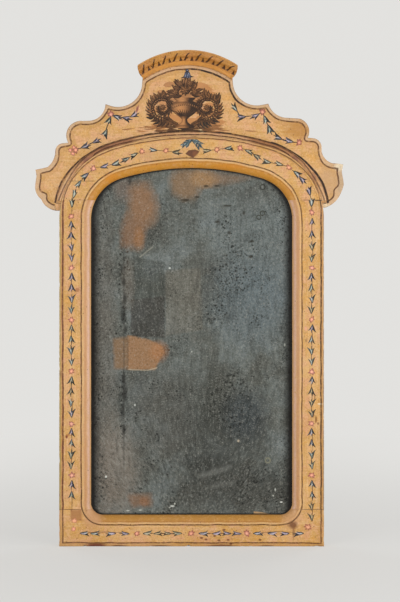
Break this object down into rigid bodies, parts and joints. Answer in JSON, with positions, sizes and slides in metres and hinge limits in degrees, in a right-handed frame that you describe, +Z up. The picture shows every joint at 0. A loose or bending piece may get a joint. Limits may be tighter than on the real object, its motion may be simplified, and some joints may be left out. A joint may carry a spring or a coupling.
{
  "type": "wall mirror",
  "caption": "Wall mirror with an arched, moulded and painted wood frame, a sawn crest under a cornice cap, aged glass and a ring to hang it by.",
  "frame": {"origin": "middle of the lower edge, on the back plane that lies against the wall", "axes": "+X to the viewer's right, -Y out of the glass towards the viewer, +Z up"},
  "size_m": [0.6192, 0.041, 0.991],
  "materials": {
    "lacquered_wood": "ochre lacquer over gesso, varnished, worn and crazed",
    "worn_bead_wood": "brown lacquer worn through at the top",
    "cornice_wood": "orange ochre lacquer with painted leaf strokes",
    "old_mirror": "greyed, streaked and spotted tin mercury mirror",
    "tin_amalgam": "dull grey foil",
    "bare_back_wood": "bare aged softwood, sawn",
    "batten_wood": "bare aged softwood, planed",
    "peg_wood": "end grain of hardwood pegs",
    "dark_iron": "forged iron, dark and slightly rusted"
  },
  "bodies": {
    "mirror": {"bottom_rail": "lacquered_wood", "left_stile": "lacquered_wood", "right_stile": "lacquered_wood", "arched_head": "lacquered_wood", "crest_board": "lacquered_wood", "arch_moulding": "worn_bead_wood", "crest_cornice": "cornice_wood", "mirror_glass": "old_mirror", "tin_foil": "tin_amalgam", "left_back_board": "bare_back_wood", "centre_back_board": "bare_back_wood", "right_back_board": "bare_back_wood", "centre_batten": "batten_wood", "left_batten": "batten_wood", "right_batten": "batten_wood", "ring_staple": "dark_iron", "lap_pegs": "peg_wood", "retaining_brads": "dark_iron", "batten_nails": "dark_iron", "cornice_nails": "dark_iron", "moulding_brads": "dark_iron"},
    "ring": {"hanging_ring": "dark_iron"}
  },
  "joints": [
    {"name": "ring_swing", "type": "hinge", "parent": "mirror", "child": "ring", "pos_m": [0, -0.005, 0.905], "axis": [1, 0, 0], "range_deg": [0, 180]}
  ]
}
